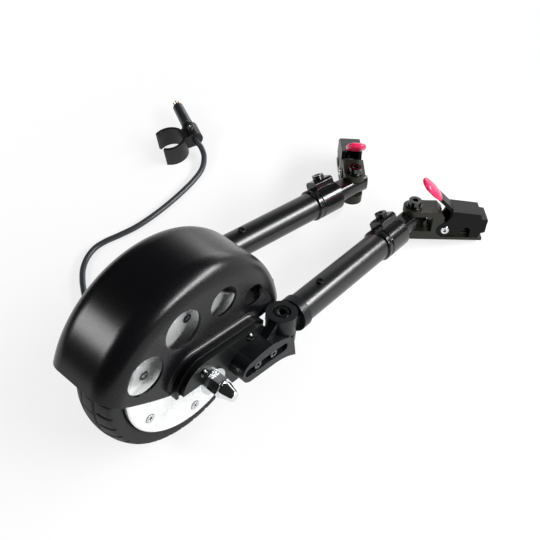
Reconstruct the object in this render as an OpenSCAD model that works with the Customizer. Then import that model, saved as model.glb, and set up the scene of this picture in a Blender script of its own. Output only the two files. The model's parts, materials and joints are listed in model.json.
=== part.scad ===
// Wheelchair power assist: a hub-motor wheel under a moulded fender, with two latch arms.
// Everything rigid is drawn in a device frame: axle centre at the origin, +X along the
// arms, +Y to the left side, +Z square to the arms. The device is then pitched nose down
// until the tyre and the front corners of both latches stand on the floor.

/* [Wheel] */
// Outer diameter of the tyre
tyre_d = 200; // [190:1:206]
// Width of the tyre
tyre_w = 48; // [44:1:49]
// Radius of the tyre's crown in section
crown_r = 46; // [36:1:50]
// Diameter of the rim under the tyre
rim_d = 154; // [150:1:158]
// Width and depth of the tread's round grooves
groove = 2.4; // [1.5:0.1:3]
// Distance of a round groove from the middle of the tread
groove_y = 8; // [6:0.5:10]
// Number of cross cuts in each shoulder of the tread
sipe_n = 36; // [20:1:44]
// Width and depth of a cross cut
sipe_w = 2; // [1.5:0.1:2.5]
sipe_depth = 2.2; // [1.5:0.1:2.5]
// Width of the hub over its two covers
hub_w = 57; // [56:0.5:58]
// Thickness of a hub cover at its rim
cover_t = 4.5; // [4:0.5:5]
// Radius of the circle of cover screws
cover_screw_at = 63; // [62:0.5:68]
// Number of screws in a hub cover
cover_screw_n = 6; // [4:1:8]
// Depth of the rotor ring under the rim
rotor_t = 20; // [18:0.5:21]
// Thickness of the rotor's magnets
magnet_t = 4; // [3:0.5:5]
// Number of magnets
magnet_n = 20; // [16:2:24]
// Running gap between magnets and stator
air_gap = 0.8; // [0.5:0.1:1.5]
// Number of stator teeth
tooth_n = 18; // [12:3:18]
// Outer diameter of a hub bearing
bearing_d = 28; // [26:1:30]
// Width of a hub bearing
bearing_w = 8; // [7:0.5:8]

/* [Axle] */
// Diameter of the axle
axle_d = 12; // [11:0.5:13]
// Width over the axle's flats in the fork slots
axle_flat = 10; // [9:0.5:10.5]
// Diameter of an axle washer
washer_d = 28.6; // [26:0.2:30]
// Thickness of an axle washer
washer_t = 2.5; // [2:0.5:4]
// Width over the flats of a domed axle nut
nut_af = 19; // [18:0.5:20]
// Height of a domed nut's hexagon
nut_hex_h = 13; // [11:0.5:15]
// Radius of a capped nut's cap at its root and at its end
nut_cap_r = 8.4; // [8:0.1:9]
nut_end_r = 5.6; // [5:0.1:6]
// Height of the cap
nut_cap_h = 15; // [13:0.5:17]

/* [Fender] */
// Radial gap from the tyre to the inside of the fender
fender_gap = 14; // [10:0.5:16]
// Wall of the fender
fender_wall = 2.6; // [2:0.2:3]
// Outer width of the fender
fender_w = 85; // [82:0.5:88]
// Radius of the fender's shoulder edge
shoulder_r = 22; // [16:0.5:26]
// Height of the fender's rear corner above the axle
skirt_rear_z = 33; // [28:1:36]
// Radius of the skirt's lower edge
skirt_r = 430; // [400:5:460]
// Lowest height of the skirt's lower edge
skirt_low_z = -33; // [-36:1:-30]
// Height of the nose's lower edge at the very front
nose_low_z = 25; // [20:1:28]
// Height of the nose's lower edge in front of the fork plates
nose_rear_z = 20; // [17:1:22]
// Radii of the side holes, from the rear to the nose
hole_r = [20.5, 20.5, 16, 11.5];
// Distances of the side holes from the axle
hole_at = [78.2, 72.7, 76.1, 86];
// Angles of the side holes above the arms' direction
hole_deg = [147.8, 108.2, 69.7, 40.5];
// Thickness of the raised lip round a fork plate
lip_t = 3; // [2:0.5:4]
// Height of a fork plate's face above the lip
lip_below = 5; // [3:0.5:6]
// Radius of the blend at the foot of the lip
lip_blend = 6; // [4:0.5:8]
// Gap between a fork plate's edge and the fender's lip
lip_gap = 1; // [0.5:0.25:1.5]

/* [Fork plates] */
// Inside width between the fork plates
dropout_w = 100; // [98:1:104]
// Thickness of a fork plate
plate_t = 7; // [6:0.5:8]
// Height of a fork plate's top edge above the axle
plate_top = 30; // [29:0.5:32]
// Depth of a fork plate's front leg below the axle
plate_low = 24; // [20:1:27]
// Distance of a fork plate's front edge from the axle
plate_front = 71; // [68:0.5:71]
// Radius of a fork plate's rear end
plate_rear_r = 28; // [27:0.5:29]
// Radius of a fork plate's front top corner
plate_corner_r = 15; // [12:0.5:17]
// Places of the two fender screws in a fork plate
fender_screw_xz = [[-11, 18], [48, 24]];
// Radius and height of a fender screw's head
screw_head_r = 4.6; // [4:0.1:5]
screw_head_h = 2.8; // [2:0.1:3.5]
// Radius of a small screw's shank
screw_r = 2.5; // [2:0.1:2.7]

/* [Brackets] */
// Thickness of a slotted bracket
bracket_t = 17.7; // [16.5:0.1:19]
// Distance of a bracket's rear end from the axle
bracket_rear = 22; // [21:0.5:23]
// Distance of a bracket's front end from the axle
bracket_front = 97; // [95:0.5:98]
// Height of a bracket's crest
bracket_top = 17; // [15:0.5:17.5]
// Height of a bracket's lower edge
bracket_low = -12; // [-14:0.5:-11]
// Radius of the bracket's convex top
bracket_top_r = 70; // [66:1:76]
// Radius of the bracket's concave toe
bracket_toe_r = 60; // [55:1:70]
// Rear and front ends of the bracket's slot
slot_rear = 25.5; // [25:0.5:27]
slot_front = 83; // [82:0.5:84]
// Height of the bracket's slot
slot_z = 1.5; // [0:0.5:2]
// Width of the slot's recess
slot_w = 10; // [9.4:0.2:11]
// Depth of the slot's recess
slot_depth = 6.5; // [6:0.5:9]
// Places of the two bracket bolts along the slot
bracket_bolt_x = [43.5, 65];
// Radius and height of a bracket bolt's head
cap_head_r = 4.25; // [3.9:0.05:4.4]
cap_head_h = 5; // [4:0.5:6]

/* [Arms] */
// Place of an arm's pivot in front of the axle
pivot_x = 89; // [88.5:0.5:91]
// Place of an arm's pivot beside the wheel
pivot_y = 59; // [58:0.5:61]
// Height of the arms above the axle
arm_z = 14.5; // [14:0.5:16]
// Angle by which the arms lean in
toe_in = 4; // [2:0.5:6]
// Radius of the pivot's ears
ear_r = 15.5; // [14:0.5:15.5]
// Overall height of the pivot
ear_h = 33; // [30:0.5:35]
// Thickness of the arm's eye between the ears
eye_t = 13; // [11:0.5:14]
// Radius of the pivot bolt
pivot_bolt_r = 5; // [4:0.5:5.5]
// Radius of the pivot bolt's head and of its recess
pivot_head_r = 7.5; // [7:0.25:8]
pivot_recess_r = 9; // [8.5:0.25:10]
// Depth of the recess for the pivot bolt's head
pivot_recess = 6; // [5:0.5:7]
// Outer diameter of an arm's tube
tube_d = 31; // [30:0.2:32]
// Diameter of the sliding bar
bar_d = 24; // [23:0.5:25]
// Outer diameter of the socket that holds the tube
socket_d = 35; // [34:0.5:36]
// Distance of the tube's small screw from the pivot
tube_screw_l = 61; // [50:1:80]
// Outer diameter of the locking collar
collar_d = 35.4; // [34:0.2:37]
// Distance of the locking collar's front end behind the swivel, and its length
collar_back = 32; // [30:0.5:34]
collar_len = 37.5; // [36:0.5:39]
// Distance of the collar's lug from the collar's rear end
lug_back = 9.5; // [9:0.5:11]
// Width of the collar's lug
lug_w = 17; // [15:0.5:20]
// Height of the collar's lug above the tube's middle
lug_h = 24; // [22:0.5:26]
// Angle by which both lugs are turned towards the left
lug_turn = 31; // [20:1:40]
// Radius and height of the lock bolt's head
lock_head_r = 6.5; // [6:0.25:7]
lock_head_h = 5; // [4:0.5:6]
// Length of the sliding bar behind the swivel
bar_len = 125; // [118:1:130]
// Distance of the latch swivel from the pivot
swivel_l = 233.5; // [232:0.5:240]
// Length of the bar beyond the swivel
bar_tip = 14.5; // [13:0.5:15]
// Height over the bar's flats
bar_flat = 19; // [18:0.5:20]

/* [Latches] */
// Angle of a latch outwards from its arm
latch_swivel = 48; // [44:1:52]
// Reach of a latch's foot from its swivel
latch_len = 80; // [78:0.5:82]
// Width of a latch
latch_w = 24; // [23:0.5:26]
// Height of a latch's top above the arm's middle
latch_top = 16; // [15:0.25:16]
// Depth of a latch's foot below the arm's middle
latch_foot = 20.5; // [20:0.25:22]
// Depth of the clevis slot from the swivel
clevis_depth = 20.5; // [19.5:0.5:21]
// Radius of the swivel bolt
swivel_bolt_r = 4; // [3.5:0.25:4.5]
// Radius and height of the swivel bolt's head
swivel_head_r = 7; // [6.5:0.25:7.5]
swivel_head_h = 6.5; // [5:0.5:7]
// Place of the jaw's pin from the swivel
jaw_pin_u = 36; // [35.5:0.25:36.5]
// Height of the jaw's pin
jaw_pin_w = -7; // [-7.5:0.25:-6.5]
// Radius of the jaw's pin and of its rolled heads
jaw_pin_r = 3; // [2.5:0.25:3.5]
jaw_pin_head_r = 5; // [4.5:0.25:5.5]
// Radius and depth of the hollow in each end of the jaw's pin
eyelet_r = 2; // [1.75:0.25:2.25]
eyelet_depth = 3; // [2.5:0.25:3.5]
// Thickness of the jaw's side plates
jaw_t = 4; // [3:0.25:4.25]
// Radius of a side plate's round end
jaw_end_r = 9; // [8.5:0.25:9.25]
// Place of the catch from the swivel
catch_u = 59.5; // [59:0.25:60]
// Height of the catch
catch_w = -8.5; // [-9:0.25:-8]
// Radius of the catch
catch_r = 5.2; // [4.8:0.1:5.4]
// Length of the jaw's lever from its root
lever_len = 47; // [44:0.5:50]
// Thickness and width of the lever
lever_t = 4; // [3:0.25:4.5]
lever_w = 17; // [15:0.5:18]
// Length and width of the dipped grip
grip_len = 28; // [24:0.5:29]
grip_w = 23; // [21:0.5:24]
// Thickness of the dipped grip
grip_t = 8; // [7:0.25:10]
// Wire of the jaw's spring
spring_wire = 1.4; // [1.2:0.1:1.5]
// Outer radius of the jaw's spring
spring_r = 5.8; // [5.6:0.1:6]

/* [Cable] */
// Diameter of the motor cable
cable_d = 7; // [6:0.5:7.5]
// Length of the gland on the axle
gland_len = 22; // [20:1:24]
// Radius of the gland at its root
gland_r = 5.5; // [5:0.25:6]
// Inner radius of the cable clip's ring
clip_r = 17.5; // [16:0.5:18]
// Wall of the cable clip's ring
clip_wall = 3.5; // [3:0.25:4]
// Height of the cable clip
clip_h = 26; // [24:1:28]
// Angle of the clip's mouth
clip_mouth = 104; // [90:2:120]
// Radii of the plug at its root and its tip
plug_root_r = 7.5; // [7:0.25:8]
plug_tip_r = 6.75; // [6.25:0.25:7]
// Length of the plug
plug_len = 48; // [44:1:52]
// Number of the plug's pins
pin_n = 5; // [3:1:6]
// Radius and length of a pin
pin_r = 0.8; // [0.6:0.1:1]
pin_len = 11; // [9:0.5:12]

/* [Fits] */
// Clearance of a running or sliding fit
run_fit = 0.08; // [0.05:0.01:0.1]
// Gap between faces that move past each other
slide_gap = 0.3; // [0.2:0.05:0.35]
// Clearance of a screw in its hole
screw_fit = 0.1; // [0.05:0.05:0.2]

/* [Hidden] */
$fn = 72;
far = 400;

// Wheel and axle
tyre_r = tyre_d / 2;
tyre_half = tyre_w / 2;
rim_r = rim_d / 2;
crown_at = tyre_r - crown_r;
groove_floor = crown_at + sqrt(pow(crown_r, 2) - pow(groove_y, 2)) - groove;
sipe_y = tyre_half - 6;
sipe_lean = asin(sipe_y / crown_r);
sipe_slant = 22;
hub_half = hub_w / 2;
shell_half = hub_half - cover_t;
rotor_r = rim_r - rotor_t;
magnet_half = 14;
stator_r = rotor_r - magnet_t - air_gap;
core_r = 30;
shoe_r = stator_r - 5;
shoe_gap = 3;
tooth_t = 5;
coil_t = 2;
coil_half = magnet_half + 4;
axle_r = axle_d / 2;
bearing_r = bearing_d / 2;
boss_r = bearing_r + 5;
boss_half = hub_half + 5.5;
bearing_out = boss_half - 2;
spacer_r = axle_r + 3;
stator_seat_r = axle_r + 6;
stator_seat_half = magnet_half + 1;
cover_head_r = 4.8;
cover_head_h = 2.7;
cover_head_seat = hub_half - 2;
cover_screw_deg = 155.5;
plate_in = dropout_w / 2;
plate_out = plate_in + plate_t;
washer_out = plate_out + washer_t;
nut_top = washer_out + nut_hex_h;
axle_half = nut_top + nut_cap_h * 0.2;

// Fender and fork plates
fender_in_r = tyre_r + fender_gap;
fender_out_r = fender_in_r + fender_wall;
fender_half = fender_w / 2;
lip_y = plate_out - lip_below;
skirt_z = skirt_low_z + skirt_r;
skirt_rear_x = -sqrt(pow(fender_out_r, 2) - pow(skirt_rear_z, 2));
skirt_x = skirt_rear_x + sqrt(pow(skirt_r, 2) - pow(skirt_z - skirt_rear_z, 2));
hub_opening_r = boss_r + 5;
plate_rear_x = -8;
plate_rear_z = plate_top - plate_rear_r;
plate_hook_z = 4;
plate_corner_x = plate_front - plate_corner_r;
plate_corner_z = plate_top - plate_corner_r;
nose_cut_x = plate_front - 1;
lip_drop = 5;
plate_knee_x = 34;
plate_toe_z = -9;
axle_slot = axle_flat / 2 + screw_fit;
pad_t = 3;

// Brackets and arms
bracket_in = plate_out + slide_gap;
bracket_out = bracket_in + bracket_t;
bracket_end_r = (bracket_top - 3.7 - bracket_low) / 2;
bracket_crest_x = 57;
bracket_toe_x = 66;
neck_rear = 60;
neck_run = 12;
neck_out = 7;
slot_floor = bracket_out - slot_depth;
slot_shank = screw_r + 0.4;
ear_in = eye_t / 2 + slide_gap;
ear_half = ear_h / 2;
eye_r = ear_r - 0.5;
pivot_seat = ear_half - pivot_recess;
tube_r = tube_d / 2;
bar_r = bar_d / 2;
tube_in_r = bar_r + run_fit;
socket_r = socket_d / 2;
socket_rear = ear_r + 1;
socket_front = socket_rear + 10.5;
tube_rear = socket_rear + 3;
tube_screw_r = 2;
tube_screw_head_r = 4;
tube_screw_seat = tube_r - 0.6;
collar_r = collar_d / 2;
collar_front = swivel_l - collar_back;
collar_rear = collar_front - collar_len;
tube_end = collar_front - 2;
bar_rear = swivel_l - bar_len;
lug_rear = collar_rear + lug_back;
lug_front = collar_front - 2;
lock_l = (lug_rear + lug_front) / 2;
lock_r = 4;
flat_half = bar_flat / 2;
flat_rear = collar_front - 16;

// Latches
latch_half = latch_w / 2;
clevis_half = flat_half + slide_gap;
jaw_out = latch_half - 0.1;
jaw_in = jaw_out - jaw_t;
tongue_half = jaw_in - slide_gap;
block_front = jaw_pin_u - 3;
foot_top = 3.5 - latch_foot;
tongue_top = catch_w + 4.5;
pin_cheek_top = jaw_pin_w + jaw_pin_r + 3;
tongue_front = catch_u + catch_r + 2;
swivel_flange_r = 9;
swivel_flange_t = 2;
jaw_web_t = 5;
jaw_tip = [82.3, 7.6];
lever_root = [42.5, 15.6];
lever_deg = 137;
grip_start = lever_len - grip_len + 4;
grip_corner = 6;
spring_at = spring_r - spring_wire / 2;
spring_half = 3.6;
spring_pocket = spring_half + spring_wire / 2 + 0.2;
spring_leg = 19;

// Pitch of the device, and the origin under the middle of its box
latch_yaw = latch_swivel - toe_in;
swivel_x = pivot_x + swivel_l * cos(toe_in);
corner_x = swivel_x + latch_len * cos(latch_yaw) + latch_half * sin(latch_yaw);
corner_z = arm_z - latch_foot;
pitch = atan2(corner_z, corner_x) + asin(tyre_r / norm([corner_x, corner_z]));
function stood(x, z) = [x * cos(pitch) + z * sin(pitch), z * cos(pitch) - x * sin(pitch)];
jaw_tip_x = swivel_x + jaw_tip[0] * cos(latch_yaw) + jaw_out * sin(latch_yaw);
rear_x = min(-tyre_r, stood(skirt_rear_x, skirt_rear_z)[0]);
front_x = stood(jaw_tip_x, arm_z + jaw_tip[1])[0];
origin_x = (rear_x + front_x) / 2;

// Route of the motor cable in the standing frame, measured from below the axle
gland_y = 43;
gland_deg = 250;
gland_dir = stood(cos(gland_deg), sin(gland_deg));
gland_end = [gland_len * gland_dir[0], gland_y, tyre_r + gland_len * gland_dir[1]];
cable_r = cable_d / 2;
floor_z = cable_r + 0.05;
plug_deg = 65;
plug_dir = [cos(plug_deg), sin(plug_deg), 0];
knuckle_at = [276, 279, 0];
knuckle_half = 12;
knuckle_r = 10.5;
bore_z = 13;
bore_in = knuckle_at - knuckle_half * plug_dir + [0, 0, bore_z];
bore_out = knuckle_at + knuckle_half * plug_dir + [0, 0, bore_z];
clip_at = [244, 285, 0];
clip_turn = 155;
cable_points = [
    gland_end + 0.3 * [gland_dir[0], 0, gland_dir[1]], gland_end + 11 * [gland_dir[0], 0, gland_dir[1]],
    [-24, 46, 55], [-25, 55, 37], [-22, 71, 21], [-16, 92, 10], [-8, 117, 5],
    [1, 142, floor_z], [9, 166, floor_z], [17, 187, floor_z], [25, 201, floor_z],
    [34, 214, floor_z], [45, 226, floor_z], [59, 235, floor_z], [74, 239, floor_z],
    [89, 237, floor_z], [106, 231, floor_z], [126, 225, floor_z], [148, 222, floor_z],
    [172, 221, floor_z], [198, 222, floor_z], [224, 225, floor_z], [245, 231, floor_z + 0.5],
    [260, 242, floor_z + 3], [267.5, 254.5, bore_z - 2.5], bore_in, bore_out
];

// Frames and small forms
module device() translate([-origin_x, 0, tyre_r]) rotate([0, pitch, 0]) children();
module standing() translate([-origin_x, 0, 0]) children();
module left() children();
module right() mirror([0, 1, 0]) children();
module both() {
    left() children();
    right() children();
}
module arm_frame() translate([pivot_x, pivot_y, arm_z]) rotate([0, 0, -toe_in]) children();
module latch_frame() arm_frame() translate([swivel_l, 0, 0]) rotate([0, 0, latch_swivel]) children();
module lever_frame() translate([lever_root[0], 0, lever_root[1]]) rotate([0, -lever_deg, 0]) children();
module across(y0, y1) translate([0, y1, 0]) rotate([90, 0, 0]) linear_extrude(y1 - y0) children();
module along(x0, x1) translate([x0, 0, 0]) rotate([90, 0, 90]) linear_extrude(x1 - x0) children();
module about_axle() rotate([-90, 0, 0]) rotate_extrude() children();
module about_x() rotate([0, 90, 0]) rotate_extrude() children();
module bar_x(r, x0, x1) translate([x0, 0, 0]) rotate([0, 90, 0]) cylinder(r = r, h = x1 - x0);
module bar_y(r, y0, y1) translate([0, y0, 0]) rotate([-90, 0, 0]) cylinder(r = r, h = y1 - y0);
module bar_z(r, z0, z1) translate([0, 0, z0]) cylinder(r = r, h = z1 - z0);
module hex_y(r, y0, y1) translate([0, y0, 0]) rotate([-90, 0, 0]) cylinder(r = r, h = y1 - y0, $fn = 6);
module hex_z(r, z0, z1) translate([0, 0, z0]) cylinder(r = r, h = z1 - z0, $fn = 6);
module stadium(r, x0, x1) {
    translate([x0, 0]) circle(r = r);
    translate([x1, 0]) circle(r = r);
    translate([x0, -r]) square([x1 - x0, 2 * r]);
}
// An arc of a profile about a line across the device; the profile gives radius and y
module arc_y(x, z, a0, a1) translate([x, 0, z]) rotate([90, 0, 0]) rotate([0, 0, a0])
    rotate_extrude(angle = a1 - a0) mirror([0, 1]) children();

// A round wire along a list of points, closed at both ends
function unit(v) = v / norm(v);
function square_to(n, t) = unit(n - (n * t) * t);
function spline(a, b, c, d, t) = 0.5 * (2 * b + (c - a) * t + (2 * a - 5 * b + 4 * c - d) * t * t
    + (3 * b - a - 3 * c + d) * t * t * t);
function smooth(p, steps) = let (n = len(p) - 1) concat(
    [for (i = [0 : n - 1]) for (k = [0 : steps - 1])
        spline(p[max(i - 1, 0)], p[i], p[i + 1], p[min(i + 2, n)], k / steps)], [p[n]]);
module wire(p, r, sides) {
    n = len(p);
    t = [for (i = [0 : n - 1]) unit(p[min(i + 1, n - 1)] - p[max(i - 1, 0)])];
    side = [for (i = 0, s = square_to([0.1, -0.9, 0.3], t[0]); i < n;
        i = i + 1, s = i < n ? square_to(s, t[i]) : s) s];
    rings = [for (i = [0 : n - 1]) let (s = side[i], u = cross(t[i], s)) for (k = [0 : sides - 1])
        p[i] + r * (cos(360 * k / sides) * s + sin(360 * k / sides) * u)];
    skin = [for (i = [0 : n - 2]) for (k = [0 : sides - 1]) let (a = i * sides + k,
        b = i * sides + (k + 1) % sides) each [[a, b + sides, b], [a, a + sides, b + sides]]];
    caps = [[for (k = [0 : sides - 1]) k], [for (k = [sides - 1 : -1 : 0]) (n - 1) * sides + k]];
    polyhedron(points = rings, faces = concat(skin, caps), convexity = 10);
}

// Wheel
module cover_screw_places() for (k = [0 : cover_screw_n - 1])
    let (a = cover_screw_deg + 360 * k / cover_screw_n)
        translate([cover_screw_at * cos(a), 0, cover_screw_at * sin(a)]) children();
module tyre() color("#2c2d2d") device() difference() {
    about_axle() difference() {
        intersection() {
            translate([crown_at, 0]) circle(r = crown_r);
            translate([rim_r, -tyre_half]) square([tyre_r, tyre_w]);
        }
        for (s = [-1, 1])
            translate([groove_floor, s * groove_y - groove / 2]) square([tyre_r, groove]);
    }
    both() for (k = [0 : sipe_n - 1]) rotate([0, 360 * k / sipe_n, 0])
        translate([crown_at, 0, 0]) rotate([0, 0, sipe_lean]) translate([crown_r, 0, 0])
            rotate([sipe_slant, 0, 0]) translate([-sipe_depth, -7, -sipe_w / 2])
                cube([sipe_depth + 5, 15, sipe_w]);
}
module hub_shell() color("#8d9194") device() difference() {
    about_axle() translate([rotor_r, -shell_half]) square([rotor_t, 2 * shell_half]);
    both() cover_screw_places() bar_y(screw_r, shell_half - 11, shell_half + 1);
}
module hub_cover() difference() {
    about_axle() polygon([
        [bearing_r, shell_half], [rim_r, shell_half], [rim_r, hub_half - 1.5],
        [rim_r - 1.5, hub_half], [boss_r + 1.5, hub_half], [boss_r, hub_half + 1.5],
        [boss_r, boss_half - 1], [boss_r - 1, boss_half], [spacer_r + 1.5, boss_half],
        [spacer_r + 1.5, bearing_out], [bearing_r, bearing_out]
    ]);
    cover_screw_places() {
        bar_y(screw_r + screw_fit, shell_half - 1, hub_half + 1);
        bar_y(cover_head_r + 0.4, cover_head_seat, hub_half + 1);
    }
}
module left_hub_cover() color("#d9dcde") device() hub_cover();
module right_hub_cover() color("#d9dcde") device() right() hub_cover();
module hub_cover_screws() color("#b9bcbe") device() both() cover_screw_places() difference() {
    union() {
        bar_y(screw_r, shell_half - 10, cover_head_seat);
        bar_y(cover_head_r, cover_head_seat, cover_head_seat + cover_head_h);
    }
    hex_y(2.3, cover_head_seat + 1, hub_half + 2);
}
module hub_bearings() color("#9da1a4") device() both() difference() {
    bar_y(bearing_r, bearing_out - bearing_w, bearing_out);
    bar_y(axle_r + run_fit, 0, far);
}
module rotor_magnets() color("#6d7074") device() for (k = [0 : magnet_n - 1])
    rotate([0, 360 * k / magnet_n, 0]) rotate([-90, 0, 0]) rotate_extrude(angle = 360 / magnet_n - 1.5)
        translate([rotor_r - magnet_t, -magnet_half]) square([magnet_t, 2 * magnet_half]);

// Axle and motor core
module tooth_places() for (k = [0 : tooth_n - 1]) rotate([0, 360 * k / tooth_n, 0]) children();
module stator() color("#5c6064") device() across(-magnet_half, magnet_half) difference() {
    union() {
        circle(r = core_r);
        for (k = [0 : tooth_n - 1]) rotate(360 * k / tooth_n) translate([core_r - 3, -tooth_t / 2])
            square([shoe_r - core_r + 5, tooth_t]);
        difference() {
            circle(r = stator_r);
            circle(r = shoe_r);
            for (k = [0 : tooth_n - 1]) rotate(360 * (k + 0.5) / tooth_n) translate([core_r, -shoe_gap / 2])
                square([far, shoe_gap]);
        }
    }
    circle(r = stator_seat_r);
}
module stator_coils() color("#b06a34") device() tooth_places() difference() {
    translate([core_r + 1, -coil_half, -tooth_t / 2 - coil_t])
        cube([shoe_r - core_r - 2, 2 * coil_half, tooth_t + 2 * coil_t]);
    translate([core_r - 1, -magnet_half, -tooth_t / 2]) cube([shoe_r, 2 * magnet_half, tooth_t]);
}
module axle() color("#a5a9ac") device() difference() {
    union() {
        bar_y(axle_r, -axle_half, axle_half);
        bar_y(stator_seat_r, -stator_seat_half, stator_seat_half);
    }
    both() for (s = [-1, 1]) translate([s * (axle_flat / 2 + axle_r) - axle_r, plate_in, -axle_r - 1])
        cube([2 * axle_r, far, 2 * axle_r + 2]);
}
module axle_spacers() color("#8f9396") device() both() difference() {
    bar_y(spacer_r, bearing_out + slide_gap, plate_in);
    bar_y(axle_r, 0, far);
}
module axle_washers() color("#d2d5d7") device() both() difference() {
    bar_y(washer_d / 2, plate_out, washer_out);
    bar_y(axle_r + screw_fit, 0, far);
}
module axle_nut() difference() {
    union() {
        intersection() {
            hex_y(nut_af / 2 / cos(30), washer_out, washer_out + nut_hex_h);
            about_axle() polygon([
                [0, washer_out], [nut_af / 2, washer_out], [nut_af / 2 + 2.2, washer_out + 1.4],
                [nut_af / 2 + 2.2, washer_out + nut_hex_h - 1.4], [nut_af / 2, washer_out + nut_hex_h],
                [0, washer_out + nut_hex_h]
            ]);
        }
        about_axle() polygon([
            [0, washer_out + 1], [nut_cap_r, washer_out + 1], [nut_cap_r, nut_top + nut_cap_h * 0.12],
            [nut_end_r, nut_top + nut_cap_h * 0.84], [nut_end_r * 0.8, nut_top + nut_cap_h * 0.95],
            [nut_end_r * 0.45, nut_top + nut_cap_h], [0, nut_top + nut_cap_h]
        ]);
    }
    bar_y(axle_r + screw_fit, 0, axle_half + 1);
}
module axle_nuts() color("#d7dadc") device() both() axle_nut();

// Fender
module fender_solid(r, half, round_r) about_axle() {
    translate([0, -half]) square([r - round_r, 2 * half]);
    translate([0, round_r - half]) square([r, 2 * (half - round_r)]);
    for (s = [-1, 1]) translate([r - round_r, s * (half - round_r)]) circle(r = round_r);
}
// The outline of a fork plate's arch, grown by d, with its lower edges dropped
module arch(d, drop) {
    intersection() {
        translate([plate_rear_x, plate_rear_z]) circle(r = plate_rear_r + d);
        translate([plate_rear_x - far, plate_hook_z - drop]) square([far, far]);
    }
    translate([plate_rear_x - 1, plate_hook_z - drop])
        square([plate_corner_x - plate_rear_x + 1, plate_top + d + drop - plate_hook_z]);
    intersection() {
        translate([plate_corner_x, plate_corner_z]) circle(r = plate_corner_r + d);
        translate([plate_corner_x - far, plate_hook_z - drop]) square([2 * far, far]);
    }
    translate([plate_corner_x - 1, plate_toe_z - drop])
        square([plate_corner_r + d + 1, plate_corner_z + drop - plate_toe_z]);
}
// The hollow blend at the lip's foot; it meets the lip and the wall a little steeply
module blend(r) difference() {
    translate([r - 1, fender_half - 9]) square([lip_blend + 1, lip_blend + 9]);
    translate([r + lip_blend - 0.2, fender_half + lip_blend - 0.2]) circle(r = lip_blend);
    translate([r + 0.01, fender_half + lip_blend / 2]) square([far, far]);
    translate([r + lip_blend / 2, fender_half + 0.01]) square([far, far]);
}
module fender_boss() {
    across(fender_half - 9, lip_y) intersection() {
        arch(lip_gap + lip_t, lip_drop);
        translate([-far, -far]) square([far + plate_front + lip_gap - 0.5, 2 * far]);
    }
    arc_y(plate_rear_x, plate_rear_z, 90, 176) blend(plate_rear_r + lip_gap + lip_t);
    arc_y(plate_corner_x, plate_corner_z, 40, 90) blend(plate_corner_r + lip_gap + lip_t);
    // The straight run laps both arcs and stands a hair above them, so that no faces coincide
    along(plate_rear_x - 0.5, plate_corner_x + 0.5) mirror([1, -1])
        blend(plate_top + lip_gap + lip_t + 0.02);
}
module fender_screw_places() for (p = fender_screw_xz) translate([p[0], 0, p[1]]) children();
module fender() color("#2b2c2d") device() difference() {
    union() {
        intersection() {
            fender_solid(fender_out_r, fender_half, shoulder_r);
            across(-far, far) translate([skirt_x, skirt_z]) circle(r = skirt_r);
        }
        both() fender_boss();
    }
    fender_solid(fender_in_r, fender_half - fender_wall, shoulder_r - fender_wall);
    across(-far, far) polygon([
        [nose_cut_x, -far], [nose_cut_x, nose_rear_z], [fender_out_r + 1, nose_low_z], [far, nose_low_z + far],
        [far, -far]
    ]);
    across(-far, far) for (k = [0 : 3])
        translate([hole_at[k] * cos(hole_deg[k]), hole_at[k] * sin(hole_deg[k])]) circle(r = hole_r[k]);
    bar_y(spacer_r + 1.5, -far, far);
    both() {
        across(0, fender_half + 0.5) {
            circle(r = hub_opening_r);
            translate([plate_rear_x - plate_rear_r, -far])
                square([plate_rear_r - plate_rear_x + hub_opening_r, far + plate_hook_z - lip_drop]);
        }
        across(plate_in, far) arch(lip_gap, 2 * lip_drop);
        across(0, plate_in - pad_t) arch(-2, -pad_t);
        fender_screw_places() bar_y(screw_r, plate_in - 10, far);
    }
}
module fender_screws() color("#1f2021") device() both() fender_screw_places() difference() {
    union() {
        bar_y(screw_r, plate_in - 7, plate_out);
        rotate([-90, 0, 0]) rotate_extrude() polygon([
            [0, plate_out], [screw_head_r, plate_out], [screw_head_r, plate_out + 1],
            [screw_head_r - 1.6, plate_out + screw_head_h], [0, plate_out + screw_head_h]
        ]);
    }
    hex_y(1.8, plate_out + 1, far);
}

// Fork plates
module bracket_bolt_places() for (x = bracket_bolt_x) translate([x, 0, slot_z]) children();
module fork_plate() difference() {
    across(plate_in, plate_out) {
        arch(0, 0);
        polygon([
            [axle_slot, -plate_low], [plate_knee_x, -plate_low], [plate_front, plate_toe_z],
            [plate_front, 10], [axle_slot, 10]
        ]);
    }
    across(0, far) intersection() {
        union() {
            circle(r = axle_r + screw_fit);
            translate([-far / 2, -far]) square([far, far]);
        }
        translate([-axle_slot, -far]) square([2 * axle_slot, 2 * far]);
    }
    fender_screw_places() bar_y(screw_r, 0, far);
    bracket_bolt_places() bar_y(screw_r, 0, far);
}
module left_fork_plate() color("#3a3b3c") device() fork_plate();
module right_fork_plate() color("#3a3b3c") device() right() fork_plate();
module bracket_bolts() color("#303132") device() both() bracket_bolt_places() difference() {
    union() {
        bar_y(screw_r, plate_in + 0.5, slot_floor + slide_gap);
        bar_y(cap_head_r, slot_floor + slide_gap, slot_floor + slide_gap + cap_head_h);
    }
    hex_y(2.3, slot_floor + cap_head_h - 2, far);
}

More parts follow.
